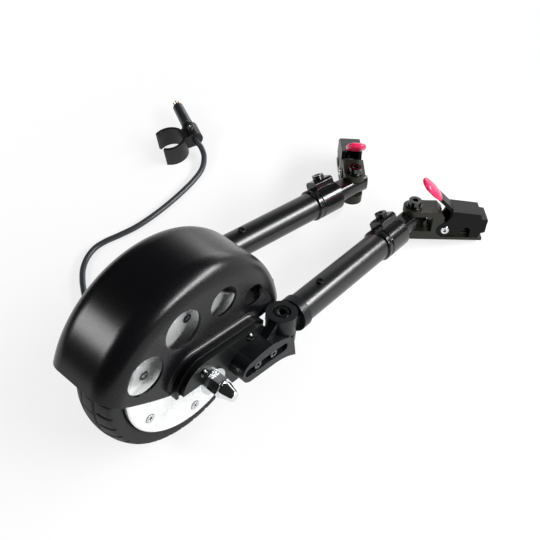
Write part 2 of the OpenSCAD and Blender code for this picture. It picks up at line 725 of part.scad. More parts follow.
// Brackets
module bracket_outline() {
    translate([bracket_rear + bracket_end_r, bracket_low + bracket_end_r]) circle(r = bracket_end_r);
    difference() {
        intersection() {
            translate([bracket_crest_x, bracket_top - bracket_top_r]) circle(r = bracket_top_r);
            polygon([
                [bracket_rear + bracket_end_r, bracket_low], [bracket_toe_x, bracket_low],
                [bracket_toe_x, -20.6], [bracket_front, -20.6],
                [bracket_front - 6, 10], [bracket_front - 6, 40], [bracket_rear + bracket_end_r, 40]
            ]);
        }
        translate([bracket_toe_x, bracket_low - bracket_toe_r]) circle(r = bracket_toe_r);
    }
}
module bracket() difference() {
    union() {
        across(bracket_in, bracket_out) bracket_outline();
        across(bracket_in, pivot_y + neck_out) polygon([
            [neck_rear, arm_z - ear_half], [pivot_x, arm_z - ear_half], [pivot_x, arm_z + ear_half],
            [pivot_x - neck_run, arm_z + ear_half], [neck_rear, bracket_top - 2]
        ]);
        translate([pivot_x, pivot_y, arm_z]) bar_z(ear_r, -ear_half, ear_half);
    }
    translate([pivot_x, pivot_y, arm_z]) {
        bar_z(ear_r + 0.7, -ear_in, ear_in);
        translate([0, -far / 2, -ear_in]) cube([far, far, 2 * ear_in]);
        bar_z(pivot_bolt_r, 2 - ear_half, far);
        bar_z(pivot_recess_r, pivot_seat, far);
    }
    translate([0, 0, slot_z]) {
        across(slot_floor, far) stadium(slot_w / 2, slot_rear + slot_w / 2, slot_front - slot_w / 2);
        across(0, far) stadium(slot_shank, slot_rear + slot_w / 2, slot_front - slot_w / 2);
    }
}
module left_bracket() color("#46484a") device() bracket();
module right_bracket() color("#46484a") device() right() bracket();
module pivot_bolt() translate([pivot_x, pivot_y, arm_z]) difference() {
    union() {
        bar_z(pivot_bolt_r, 2.5 - ear_half, pivot_seat);
        bar_z(pivot_head_r, pivot_seat, ear_half - 0.5);
    }
    hex_z(4.6, ear_half - 4, far);
}
module left_pivot_bolt() color("#2a2b2c") device() pivot_bolt();
module right_pivot_bolt() color("#2a2b2c") device() right() pivot_bolt();

// Arms
module knuckle() arm_frame() difference() {
    union() {
        bar_z(eye_r, -eye_t / 2, eye_t / 2);
        translate([0, -10, -eye_t / 2]) cube([socket_rear + 1, 20, eye_t]);
        bar_x(socket_r, socket_rear, socket_front);
    }
    bar_z(pivot_bolt_r + run_fit, -far, far);
    bar_x(tube_r, tube_rear, far);
}
module left_knuckle() color("#55585a") device() knuckle();
module right_knuckle() color("#55585a") device() right() knuckle();
// The lock bolt's direction: both lugs turn towards the left side
module lock_frame(turn) rotate([turn, 0, 0]) translate([lock_l, 0, 0]) children();
module outer_tube(turn) arm_frame() difference() {
    bar_x(tube_r, tube_rear, tube_end);
    bar_x(tube_in_r, 0, far);
    translate([tube_screw_l, 0, 0]) {
        bar_z(tube_screw_r, 0, far);
        bar_z(tube_screw_head_r, tube_screw_seat, far);
    }
    lock_frame(turn) bar_z(lock_r, 0, far);
}
module left_outer_tube() color("#1d1e1f") device() outer_tube(-lug_turn);
module right_outer_tube() color("#1d1e1f") device() right() outer_tube(lug_turn);
module tube_screw() arm_frame() translate([tube_screw_l, 0, 0]) difference() {
    union() {
        bar_z(tube_screw_r, tube_in_r + 0.3, tube_screw_seat);
        bar_z(tube_screw_head_r, tube_screw_seat, tube_r + 1.8);
    }
    hex_z(2, tube_r, far);
}
module left_tube_screw() color("#3c3d3e") device() tube_screw();
module right_tube_screw() color("#3c3d3e") device() right() tube_screw();
module lock_collar(turn) arm_frame() difference() {
    union() {
        about_x() polygon([
            [bar_r - 1, collar_rear], [collar_r - 1, collar_rear], [collar_r, collar_rear + 1],
            [collar_r, collar_rear + 4], [collar_r - 1.2, collar_rear + 5], [collar_r - 1.2, collar_rear + 7],
            [collar_r, collar_rear + 8], [collar_r, collar_front - 1], [collar_r - 1, collar_front],
            [bar_r - 1, collar_front]
        ]);
        rotate([turn, 0, 0]) along(lug_rear, lug_front) polygon([
            [-lug_w / 2, 8], [-lug_w / 2, lug_h - 2.5], [2.5 - lug_w / 2, lug_h],
            [lug_w / 2 - 2.5, lug_h], [lug_w / 2, lug_h - 2.5], [lug_w / 2, 8]
        ]);
    }
    bar_x(tube_r, 0, tube_end);
    bar_x(bar_r + 0.5, 0, far);
    lock_frame(turn) bar_z(lock_r, 0, far);
}
module left_lock_collar() color("#18191a") device() lock_collar(-lug_turn);
module right_lock_collar() color("#18191a") device() right() lock_collar(lug_turn);
module lock_bolt(turn) arm_frame() lock_frame(turn) difference() {
    union() {
        bar_z(lock_r, bar_r + slide_gap, lug_h);
        bar_z(lock_head_r, lug_h, lug_h + lock_head_h);
    }
    hex_z(3.5, lug_h + lock_head_h - 3, far);
}
module left_lock_bolt() color("#2a2b2c") device() lock_bolt(-lug_turn);
module right_lock_bolt() color("#2a2b2c") device() right() lock_bolt(lug_turn);
module sliding_bar() arm_frame() difference() {
    union() {
        bar_x(bar_r, bar_rear, swivel_l);
        intersection() {
            bar_x(bar_r, swivel_l - 1, swivel_l + bar_tip);
            translate([swivel_l, 0, 0]) bar_z(bar_tip + 2, -far, far);
        }
    }
    for (s = [0, 1]) mirror([0, 0, s]) translate([flat_rear, -far, flat_half]) cube([far, 2 * far, far]);
    translate([swivel_l, 0, 0]) bar_z(swivel_bolt_r + run_fit, -far, far);
}
module left_sliding_bar() color("#232425") device() sliding_bar();
module right_sliding_bar() color("#232425") device() right() sliding_bar();

// Latches
module at_pin() translate([jaw_pin_u, 0, jaw_pin_w]) children();
module latch_body() latch_frame() difference() {
    union() {
        difference() {
            translate([0, 0, -latch_foot]) linear_extrude(latch_foot + latch_top) {
                circle(r = latch_half);
                translate([0, -latch_half]) square([block_front, latch_w]);
            }
            both() at_pin() bar_y(jaw_end_r + 0.6, tongue_half, far);
            translate([-far, -far, -clevis_half]) cube([far + clevis_depth, 2 * far, 2 * clevis_half]);
            across(-far, far) polygon([
                [block_front - 7, latch_top + 1], [block_front + 1, latch_top - 7],
                [block_front + 1, latch_top + 1]
            ]);
        }
        across(-tongue_half, tongue_half) polygon([
            [block_front - 6, -latch_foot], [tongue_front, -latch_foot], [tongue_front, tongue_top],
            [jaw_pin_u + 14, tongue_top], [jaw_pin_u + 10, pin_cheek_top], [block_front - 6, pin_cheek_top]
        ]);
        translate([block_front - 1, -latch_half, -latch_foot])
            cube([latch_len - block_front + 1, latch_w, latch_foot + foot_top]);
    }
    bar_z(swivel_bolt_r, 2 - latch_foot, far);
    at_pin() bar_y(jaw_pin_r, -far, far);
    translate([jaw_pin_u - 7, -spring_pocket, jaw_pin_w - 6.6]) cube([14, 2 * spring_pocket, far]);
    translate([catch_u, 0, catch_w]) {
        bar_y(catch_r, -far, far);
        translate([0, -far, -catch_r]) cube([far, 2 * far, far]);
    }
}
module left_latch_body() color("#292a2b") device() latch_body();
module right_latch_body() color("#292a2b") device() right() latch_body();
module swivel_bolt() latch_frame() difference() {
    union() {
        bar_z(swivel_bolt_r, 2.5 - latch_foot, latch_top);
        bar_z(swivel_flange_r, latch_top, latch_top + swivel_flange_t);
        bar_z(swivel_head_r, latch_top + 1, latch_top + swivel_flange_t + swivel_head_h);
    }
    hex_z(3.5, latch_top + swivel_head_h - 1, far);
}
module left_swivel_bolt() color("#26282a") device() swivel_bolt();
module right_swivel_bolt() color("#26282a") device() right() swivel_bolt();
module jaw_pin() latch_frame() at_pin() {
    difference() {
        union() {
            bar_y(jaw_pin_r, -jaw_out - slide_gap - 0.2, jaw_out + slide_gap + 0.2);
            both() rotate([-90, 0, 0]) rotate_extrude() polygon([
                [0, jaw_out + slide_gap], [jaw_pin_head_r, jaw_out + slide_gap],
                [jaw_pin_head_r - 0.8, jaw_out + slide_gap + 1.4], [0, jaw_out + slide_gap + 1.4]
            ]);
        }
        both() bar_y(eyelet_r, jaw_out + slide_gap + 1.4 - eyelet_depth, far);
    }
}
module left_jaw_pin() color("#c3c6c8") device() jaw_pin();
module right_jaw_pin() color("#c3c6c8") device() right() jaw_pin();
module jaw_spring() latch_frame() at_pin() wire(concat(
    [[-spring_at, -spring_half, spring_leg]],
    [for (k = [0 : 70]) let (a = 180 + 18 * k)
        [spring_at * cos(a), spring_half * (k / 35 - 1), spring_at * sin(a)]],
    [[spring_at, spring_half, spring_leg]]), spring_wire / 2, 6);
module left_jaw_spring() color("#9a9da0") device() jaw_spring();
module right_jaw_spring() color("#9a9da0") device() right() jaw_spring();
module jaw() latch_frame() difference() {
    union() {
        both() across(jaw_in, jaw_out) {
            translate([jaw_pin_u, jaw_pin_w]) circle(r = jaw_end_r);
            polygon([
                [jaw_pin_u, jaw_pin_w + jaw_end_r], [42.5, lever_root[1] + 0.4], [73.5, 12], [74.2, 8],
                [jaw_tip[0] - 0.3, jaw_tip[1] - 0.4], [jaw_tip[0] - 0.3, -9], [78, -10.5],
                [75, -15.6], [72, foot_top + 0.4], [66, foot_top + 0.4],
                [53, -12.5], [jaw_pin_u, jaw_pin_w - jaw_end_r]
            ]);
        }
        across(-jaw_out, jaw_out) polygon([
            [40.8, 18.2], [74, 14.5], [74.6, 8.7], jaw_tip, [jaw_tip[0], jaw_tip[1] - jaw_web_t],
            [72, 9 - jaw_web_t], [71.4, 14.5 - jaw_web_t], [41.4, 18.2 - jaw_web_t]
        ]);
        lever_frame() translate([0, -lever_w / 2, -lever_t / 2]) cube([lever_len, lever_w, lever_t]);
    }
    at_pin() bar_y(jaw_pin_r + run_fit, -far, far);
    translate([catch_u, 0, catch_w]) {
        bar_y(catch_r + 0.2, -far, far);
        translate([-catch_r - 0.2, -far, -far]) cube([2 * catch_r + 0.4, 2 * far, far]);
    }
}
module left_jaw() color("#303234") device() jaw();
module right_jaw() color("#303234") device() right() jaw();
module grip() latch_frame() lever_frame() difference() {
    intersection() {
        translate([0, 0, -far / 2]) linear_extrude(far) {
            translate([grip_start, -grip_w / 2]) square([grip_len - grip_corner, grip_w]);
            translate([grip_start, grip_corner - grip_w / 2]) square([grip_len, grip_w - 2 * grip_corner]);
            for (s = [-1, 1]) translate([grip_start + grip_len - grip_corner, s * (grip_w / 2 - grip_corner)])
                circle(r = grip_corner);
        }
        across(-far, far) {
            translate([grip_start, 1 - grip_t / 2]) square([grip_len - grip_t / 2, grip_t - 2]);
            stadium(grip_t / 2, grip_start + grip_t / 2 + 1, grip_start + grip_len - grip_t / 2);
        }
    }
    translate([0, -lever_w / 2, -lever_t / 2]) cube([lever_len, lever_w, lever_t]);
}
module left_grip() color("#e8537a") device() grip();
module right_grip() color("#e8537a") device() right() grip();

// Cable, plug and clip
module cable_gland() color("#1b1c1d") device() difference() {
    translate([0, gland_y, 0]) rotate([0, -gland_deg, 0]) about_x() polygon([
        [0, axle_r], [gland_r + 1.2, axle_r], [gland_r + 1.2, spacer_r + 4], [gland_r, spacer_r + 4.6],
        [cable_r + 0.8, gland_len], [0, gland_len]
    ]);
    bar_y(spacer_r, 0, far);
}
module motor_cable() color("#3b3d3f") standing() wire(smooth(cable_points, 3), cable_r, 10);
module plug_frame() translate(knuckle_at) rotate([0, 0, plug_deg]) translate([0, 0, bore_z]) children();
module plug_body() color("#202123") standing() plug_frame() about_x() polygon([
    [0, knuckle_half], [plug_root_r, knuckle_half], [plug_root_r, knuckle_half + 5],
    [plug_root_r - 0.7, knuckle_half + 5.6], [plug_root_r - 0.7, knuckle_half + 7],
    [plug_root_r, knuckle_half + 7.6], [plug_tip_r, knuckle_half + plug_len - 1],
    [plug_tip_r - 1, knuckle_half + plug_len], [plug_tip_r - 1.2, knuckle_half + plug_len - 3],
    [0, knuckle_half + plug_len - 3]
]);
module plug_pins() color("#cbb67a") standing() plug_frame() for (k = [0 : pin_n - 1])
    rotate([360 * k / pin_n, 0, 0]) translate([0, 0, plug_tip_r * 0.5])
        bar_x(pin_r, knuckle_half + plug_len - 3, knuckle_half + plug_len - 3 + pin_len);
module cable_clip() color("#232426") standing() difference() {
    union() {
        translate(clip_at) rotate([0, 0, clip_turn + clip_mouth / 2])
            rotate_extrude(angle = 360 - clip_mouth) translate([clip_r, 0]) square([clip_wall, clip_h]);
        plug_frame() {
            bar_x(knuckle_r, -knuckle_half, knuckle_half);
            translate([3 - knuckle_half, 3 - knuckle_r, -bore_z])
                cube([2 * knuckle_half - 3, 2 * knuckle_r - 3, bore_z]);
            translate([-knuckle_half, 0, 3 - bore_z]) cube([18, 13, 18]);
        }
    }
    translate(clip_at) bar_z(clip_r, -1, far);
    plug_frame() {
        bar_x(cable_r, -far, far);
        translate([2, 0, 0]) bar_z(2, 0, far);
        translate([2, 0, 0]) bar_z(4.4, knuckle_r - 1, far);
    }
}
module clip_screw() color("#8b8e90") standing() plug_frame() translate([2, 0, 0]) difference() {
    union() {
        bar_z(2, cable_r + 0.5, knuckle_r - 1);
        bar_z(4.2, knuckle_r - 1, knuckle_r + 1.6);
    }
    hex_z(1.8, knuckle_r, far);
}

tyre();
hub_shell();
right_hub_cover();
left_hub_cover();
hub_cover_screws();
hub_bearings();
rotor_magnets();
stator();
stator_coils();
axle();
axle_spacers();
axle_washers();
axle_nuts();
fender();
fender_screws();
right_fork_plate();
left_fork_plate();
bracket_bolts();
right_bracket();
left_bracket();
right_pivot_bolt();
left_pivot_bolt();
right_knuckle();
left_knuckle();
right_outer_tube();
left_outer_tube();
right_tube_screw();
left_tube_screw();
right_lock_collar();
left_lock_collar();
right_lock_bolt();
left_lock_bolt();
right_sliding_bar();
left_sliding_bar();
right_latch_body();
left_latch_body();
right_swivel_bolt();
left_swivel_bolt();
right_jaw_pin();
left_jaw_pin();
right_jaw_spring();
left_jaw_spring();
right_jaw();
left_jaw();
right_grip();
left_grip();
cable_gland();
motor_cable();
plug_body();
plug_pins();
cable_clip();
clip_screw();
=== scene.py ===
"""Looks of the wheelchair power assist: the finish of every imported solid, and finer surfaces
for the pieces that the eye reads as rounded, moulded or dipped.

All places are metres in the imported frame: +X towards the latches, +Y to the device's left,
+Z up, with the floor at z = 0. Places of moving pieces come from the record's joints.
"""
import json

import bmesh
import bpy
import numpy as np
from mathutils import Matrix


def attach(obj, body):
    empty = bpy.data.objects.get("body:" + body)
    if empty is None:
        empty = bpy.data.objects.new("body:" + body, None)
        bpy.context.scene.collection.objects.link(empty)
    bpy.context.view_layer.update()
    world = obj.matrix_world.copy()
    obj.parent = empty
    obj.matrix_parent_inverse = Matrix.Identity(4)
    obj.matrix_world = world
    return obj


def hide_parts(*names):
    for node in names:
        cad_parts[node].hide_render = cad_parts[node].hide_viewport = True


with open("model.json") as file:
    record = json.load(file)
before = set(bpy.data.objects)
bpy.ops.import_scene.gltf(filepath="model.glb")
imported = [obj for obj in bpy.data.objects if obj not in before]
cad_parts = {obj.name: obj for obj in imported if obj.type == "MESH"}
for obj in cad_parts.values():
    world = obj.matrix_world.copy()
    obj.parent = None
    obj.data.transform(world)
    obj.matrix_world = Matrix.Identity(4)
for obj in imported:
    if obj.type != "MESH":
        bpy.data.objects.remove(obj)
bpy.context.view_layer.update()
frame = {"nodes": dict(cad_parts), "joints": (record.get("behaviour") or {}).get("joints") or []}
nodes = frame["nodes"]
joints = {joint["name"]: joint for joint in frame["joints"]}
scene = bpy.context.scene

MM = 0.001
SIDES = ("left", "right")
UP = np.array([0.0, 0.0, 1.0])
AXLE = np.array(joints["wheel_spin"]["pos_m"])
# The device's own directions: forward along the brackets, across to the left, and square to both
FORE = np.array(joints["left_bracket_slide"]["axis"])
LEFT = np.array([0.0, 1.0, 0.0])
RISE = np.cross(FORE, LEFT)
# Tilt of the device about Y, and the turn of each arm in towards the other
PITCH = float(np.arctan2(-FORE[2], FORE[0]))
TOE_IN = np.radians(4)


# Shapes

MERGE = 1e-6  # metres within which two points are one


def grid_quads(rows, columns, close_rows):
    """Corner indices of a grid's quads, row by row; columns close on themselves, and rows where asked."""
    r = np.arange(rows if close_rows else rows - 1)[:, None]
    c = np.arange(columns)[None, :]
    r1, c1 = (r + 1) % rows, (c + 1) % columns
    corners = [r * columns + c, r * columns + c1, r1 * columns + c1, r1 * columns + c]
    return np.stack(corners, -1).reshape(-1, 4)


def surface_piece(name, grid, body, material, close_rows=False):
    """One piece from a grid of points (rows, columns, 3) whose columns close, and its rows if it is a ring.

    Points that meet, as at a pole, are merged and the faces turned outwards."""
    rows, columns = grid.shape[:2]
    mesh = bpy.data.meshes.new(name)
    mesh.from_pydata(grid.reshape(-1, 3).tolist(), [], grid_quads(rows, columns, close_rows).tolist())
    shape = bmesh.new()
    shape.from_mesh(mesh)
    bmesh.ops.remove_doubles(shape, verts=shape.verts, dist=MERGE)
    bmesh.ops.recalc_face_normals(shape, faces=shape.faces)
    shape.to_mesh(mesh)
    shape.free()
    mesh.polygons.foreach_set("use_smooth", np.ones(len(mesh.polygons), bool))
    mesh.materials.append(material)
    piece = bpy.data.objects.new(name, mesh)
    scene.collection.objects.link(piece)
    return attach(piece, body)


def unit(v):
    """Vectors scaled to length one."""
    return v / np.linalg.norm(v, axis=-1, keepdims=True)


def ramp(x, length):
    """0 up to x = 0, then a straight rise to 1 at x = length."""
    return np.clip(x / length, 0, 1)


def smooth_step(x, length):
    """The same rise with level ends: 3t^2 - 2t^3 of the ramp t."""
    t = ramp(x, length)
    return t * t * (3 - 2 * t)


def superellipse(columns, power):
    """Points (c, s) round |c|^power + |s|^power = 1: cosine and sine to the 2/power with their signs kept."""
    turn = np.linspace(0, 2 * np.pi, columns, endpoint=False)
    return [(np.sign(q) * np.abs(q) ** (2 / power))[None, :, None] for q in (np.cos(turn), np.sin(turn))]


def round_axle(across, radius, angle):
    """Points across from the middle plane, at a radius (both in mm) and an angle about the axle."""
    across, radius, angle = (q[..., None] for q in np.broadcast_arrays(across, radius, angle))
    return AXLE + MM * (across * LEFT + radius * (np.cos(angle) * FORE + np.sin(angle) * RISE))


def smooth_path(points, steps):
    """Catmull-Rom curve through the points, in steps from each to the next: on the span from b to c, after a
    and before d, it is half of 2b + (c-a)t + (2a-5b+4c-d)t^2 + (3b-a-3c+d)t^3."""
    p = np.asarray(points, float)
    a, b, c, d = np.vstack([p[:1], p[:-2]]), p[:-1], p[1:], np.vstack([p[2:], p[-1:]])
    t = (np.arange(steps) / steps)[None, :, None]
    a, b, c, d = (q[:, None] for q in (a, b, c, d))
    curve = 2 * b + (c - a) * t + (2 * a - 5 * b + 4 * c - d) * t**2 + (3 * b - a - 3 * c + d) * t**3
    return np.vstack([0.5 * curve.reshape(-1, 3), p[-1:]])


def round_tube(path, radius, sides):
    """Circle of the given radius carried along a path, square to it."""
    ahead = unit(np.gradient(path, axis=0))
    side = unit(np.cross(UP, ahead))
    over = np.cross(ahead, side)
    turn = np.linspace(0, 2 * np.pi, sides, endpoint=False)[None, :, None]
    return path[:, None] + radius * (np.cos(turn) * side[:, None] + np.sin(turn) * over[:, None])


def stand(thing, right, up, back, spot):
    """Puts a camera or lamp at a spot with its own axes along right, up and back."""
    turn = np.eye(4)
    turn[:3] = np.column_stack([right, up, back, spot])
    thing.matrix_world = Matrix(turn.tolist())
    scene.collection.objects.link(thing)


# Materials

NOISE_LOW, NOISE_HIGH = 0.3, 0.7  # nearly all of a noise lies between these
EDGE_SAMPLES = 4
COAT_ROUGHNESS = 0.1


def linear(hex_colour):
    """An sRGB hex colour as linear RGBA: c/12.92 below 0.04045, else ((c+0.055)/1.055)^2.4."""
    c = np.array([int(hex_colour[k:k + 2], 16) for k in (1, 3, 5)]) / 255
    return (*np.where(c <= 0.04045, c / 12.92, ((c + 0.055) / 1.055) ** 2.4), 1.0)


def add(tree, kind, inputs=(), **settings):
    """Adds a node, sets its settings, and sets or links its inputs by name or number."""
    node = tree.nodes.new(kind)
    for key, value in settings.items():
        setattr(node, key, value)
    for key, value in dict(inputs).items():
        if isinstance(value, bpy.types.NodeSocket):
            tree.links.new(value, node.inputs[key])
        else:
            node.inputs[key].default_value = value
    return node


def new_material(name):
    """A material without nodes, and its tree."""
    material = bpy.data.materials.new(name)
    material.use_nodes = True
    material.node_tree.nodes.clear()
    return material, material.node_tree


def finish(name, dark, light, roughness, metallic=0.0, ior=1.5, grain_mm=1.0, relief_mm=0.02, patch_mm=30.0,
           edge_mm=0.4, stretch=(1, 1, 1), turn=(0, 0, 0), coat=0.0):
    """A worked or moulded surface: two shades in soft patches, a grain in relief and gloss, broken edges.

    roughness is (smoothest, roughest) over the grain; stretch draws the grain out along axes turned
    by turn. Most real grains are finer than the 0.5 to 3 mm drawn here, which is what still shows."""
    material, tree = new_material(name)
    place = add(tree, "ShaderNodeTexCoord").outputs["Object"]
    stretched = add(tree, "ShaderNodeMapping", {"Vector": place, "Rotation": turn, "Scale": stretch},
                    vector_type="TEXTURE").outputs["Vector"]
    patch = add(tree, "ShaderNodeTexNoise", {
        "Vector": place, "Scale": 1 / (patch_mm * MM), "Detail": 3.0}).outputs["Fac"]
    grain = add(tree, "ShaderNodeTexNoise", {
        "Vector": stretched, "Scale": 1 / (grain_mm * MM), "Detail": 2.0}).outputs["Fac"]
    shade = add(tree, "ShaderNodeMix", {0: patch, 6: linear(dark), 7: linear(light)}, data_type="RGBA")
    gloss = add(tree, "ShaderNodeMapRange", {
        "Value": grain, "From Min": NOISE_LOW, "From Max": NOISE_HIGH,
        "To Min": roughness[0], "To Max": roughness[1]})
    edge = add(tree, "ShaderNodeBevel", {"Radius": edge_mm * MM}, samples=EDGE_SAMPLES)
    relief = add(tree, "ShaderNodeBump", {
        "Height": grain, "Distance": relief_mm * MM, "Normal": edge.outputs["Normal"]})
    shader = add(tree, "ShaderNodeBsdfPrincipled", {
        "Base Color": shade.outputs[2], "Roughness": gloss.outputs["Result"],
        "Normal": relief.outputs["Normal"], "Metallic": metallic, "IOR": ior,
        "Coat Weight": coat, "Coat Roughness": COAT_ROUGHNESS})
    add(tree, "ShaderNodeOutputMaterial", {"Surface": shader.outputs["BSDF"]})
    return material


# ABS moulded in a spark-eroded tool: a deep satin black whose fine grain spreads every highlight
MOULDED_ABS = finish("moulded_abs", "#0a0a0c", "#0e0e10", (0.22, 0.29), ior=1.36, grain_mm=0.7,
                     relief_mm=0.012, patch_mm=45, edge_mm=0.6)
# Powder coat over steel plate: an even black with a slight orange peel
POWDER_COATED_STEEL = finish("powder_coated_steel", "#0b0c0c", "#101111", (0.3, 0.4), ior=1.36, grain_mm=1.6,
                             relief_mm=0.03)
# Aluminium milled, blasted and anodised: charcoal grey, dull on faces and bright on broken edges
BLASTED_ANODISED = finish("blasted_anodised_aluminium", "#0e1011", "#131517", (0.28, 0.38), ior=1.34,
                          grain_mm=0.5, relief_mm=0.015, edge_mm=0.8)
# Drawn tube, polished and anodised black: faint draw lines along each arm and a broad soft streak
ANODISED_TUBE = {
    side: finish(side + "_gloss_anodised_tube", "#060607", "#0a0b0c", (0.28, 0.295), ior=1.58, grain_mm=0.8,
                 relief_mm=0.001, edge_mm=0.02, stretch=(25, 1, 1), turn=(0, PITCH, lean))
    for side, lean in zip(SIDES, (-TOE_IN, TOE_IN))}
# Bar and collar, milled and anodised without blasting: black with a sharper gleam and bright broken edges
BRIGHT_ANODISED = finish("bright_anodised_aluminium", "#0a0b0b", "#0e0f0f", (0.15, 0.21), ior=1.6,
                         grain_mm=0.6, relief_mm=0.003, edge_mm=1.1)
# Jaw of pressed steel under black lacquer: a satin sheen without sharp reflections
LACQUERED_STEEL = finish("satin_lacquered_steel", "#070708", "#0b0b0c", (0.28, 0.36), ior=1.22, grain_mm=1.0,
                         relief_mm=0.02, edge_mm=0.6)
# Latch body of cast zinc, phosphated and oiled: a dark olive grey
PHOSPHATED_ZINC = finish("phosphated_zinc", "#1b1b16", "#24241d", (0.36, 0.48), ior=1.36, grain_mm=0.8,
                         relief_mm=0.02, edge_mm=0.6)
# Spring wire under black phosphate: nearly no gleam
PHOSPHATED_WIRE = finish("phosphated_spring_wire", "#121212", "#191918", (0.45, 0.6), ior=1.4, grain_mm=0.6)
# Screws blackened in a hot oxide bath: dark metal with an oily gleam
BLACK_OXIDE = finish("black_oxide_steel", "#48494a", "#535455", (0.16, 0.26), metallic=1.0, grain_mm=0.6,
                     relief_mm=0.008)
# Socket bolts burnished by the key and by handling: dark steel worn to a gleam
BURNISHED_STEEL = finish("burnished_steel", "#5c5e60", "#6c6e70", (0.2, 0.32), metallic=1.0, grain_mm=0.6,
                         relief_mm=0.01)
# Bright zinc plate over steel: pale and clear, with slight clouds
ZINC_PLATE = finish("zinc_plated_steel", "#c9ccce", "#dadcde", (0.16, 0.28), metallic=1.0, grain_mm=0.8,
                    relief_mm=0.008)
# Nickel-chrome plate over turned brass: a clear mirror
CHROME_PLATE = finish("chrome_plated_brass", "#dcdfe1", "#e8eaeb", (0.1, 0.18), metallic=1.0, grain_mm=1.2,
                      relief_mm=0.003)
# Aluminium as it comes from the die: a dull, slightly uneven grey
DIE_CAST = finish("die_cast_aluminium", "#8f9396", "#a3a7aa", (0.38, 0.55), metallic=1.0, grain_mm=1.2,
                  relief_mm=0.03)
# Hardened, ground steel of the bearings: a fine even gleam
GROUND_STEEL = finish("ground_steel", "#9b9fa2", "#b0b3b5", (0.16, 0.26), metallic=1.0, grain_mm=0.6,
                      relief_mm=0.005)
# Stacked silicon-steel sheets: fine lines across the stack
LAMINATIONS = finish("silicon_steel_laminations", "#4b4f53", "#6a6e71", (0.4, 0.6), metallic=1.0,
                     grain_mm=1.0, relief_mm=0.05, stretch=(10, 0.5, 10))
# Enamelled copper wire wound on the teeth: warm strands side by side
COPPER_WINDING = finish("enamelled_copper_wire", "#8a4a1f", "#b4672f", (0.25, 0.4), metallic=1.0,
                        grain_mm=1.0, relief_mm=0.2, stretch=(0.5, 10, 0.5))
# Sintered magnets under nickel: a dull silver
NICKEL_MAGNET = finish("nickel_plated_magnet", "#7d8184", "#8d9194", (0.3, 0.4), metallic=1.0)
# Vinyl that the lever was dipped in: a soft pink red with a wet gloss
DIPPED_VINYL = finish("dipped_vinyl", "#d8164c", "#e62c60", (0.24, 0.32), ior=1.45, grain_mm=3.0,
                      relief_mm=0.012, patch_mm=14, coat=0.15)
# Soft PVC extruded as the motor cable's jacket: a dull charcoal
PVC_JACKET = finish("pvc_cable_jacket", "#2e3134", "#383b3e", (0.28, 0.38), grain_mm=0.8, relief_mm=0.02)
# Soft PVC moulded over the plug: dark grey with a broad sheen
OVERMOULDED_PVC = finish("overmoulded_pvc", "#1f2023", "#292a2e", (0.3, 0.38), ior=1.6, grain_mm=0.8,
                         relief_mm=0.02, edge_mm=0.5)
# Glass-filled nylon of clip and gland: black with a faint fibre bloom
FILLED_NYLON = finish("glass_filled_nylon", "#0d0e0f", "#131415", (0.32, 0.46), ior=1.42, grain_mm=0.9,
                      relief_mm=0.03, edge_mm=0.5)
# Gold flash on brass pins: a thin warm gleam
PIN_GOLD = finish("gilded_brass_pins", "#b99a4e", "#d0b162", (0.18, 0.28), metallic=1.0)
# Rubber as it leaves the mould: a dull warm black with a faint bloom
TYRE_RUBBER = finish("vulcanised_rubber", "#131312", "#1b1b1a", (0.5, 0.66), ior=1.38, grain_mm=1.2,
                     relief_mm=0.06, patch_mm=25)

RING_GAP_MM, RING_RELIEF_MM = 1.4, 0.0015
WAVE_LENGTH = 2 * np.pi / 20  # metres from ring to ring at a wave texture's scale of 1
COVER_HAZE_MM, COVER_EDGE_MM = 18, 0.5
COVER_ROUGHNESS = (0.25, 0.29)


def turned_cover():
    """Aluminium faced on a lathe and polished: a pale satin disc whose rings, 0.4 mm apart, are drawn 1.4 mm
    apart to show."""
    material, tree = new_material("turned_aluminium")
    place = add(tree, "ShaderNodeTexCoord").outputs["Object"]
    centred = add(tree, "ShaderNodeMapping", {"Vector": place, "Location": AXLE},
                  vector_type="TEXTURE").outputs["Vector"]
    rings = add(tree, "ShaderNodeTexWave", {
        "Vector": centred, "Scale": WAVE_LENGTH / (RING_GAP_MM * MM), "Distortion": 0.6, "Detail": 1.0},
        wave_type="RINGS", rings_direction="Y")
    haze = add(tree, "ShaderNodeTexNoise", {
        "Vector": place, "Scale": 1 / (COVER_HAZE_MM * MM), "Detail": 4.0}).outputs["Fac"]
    gloss = add(tree, "ShaderNodeMapRange", {
        "Value": haze, "From Min": NOISE_LOW, "From Max": NOISE_HIGH,
        "To Min": COVER_ROUGHNESS[0], "To Max": COVER_ROUGHNESS[1]})
    shade = add(tree, "ShaderNodeMix", {0: haze, 6: linear("#eceeef"), 7: linear("#f6f7f7")},
                data_type="RGBA")
    edge = add(tree, "ShaderNodeBevel", {"Radius": COVER_EDGE_MM * MM}, samples=EDGE_SAMPLES)
    relief = add(tree, "ShaderNodeBump", {
        "Height": rings.outputs["Fac"], "Distance": RING_RELIEF_MM * MM, "Normal": edge.outputs["Normal"]})
    shader = add(tree, "ShaderNodeBsdfPrincipled", {
        "Base Color": shade.outputs[2], "Roughness": gloss.outputs["Result"],
        "Normal": relief.outputs["Normal"], "Metallic": 0.6})
    add(tree, "ShaderNodeOutputMaterial", {"Surface": shader.outputs["BSDF"]})
    return material


TURNED_COVER = turned_cover()

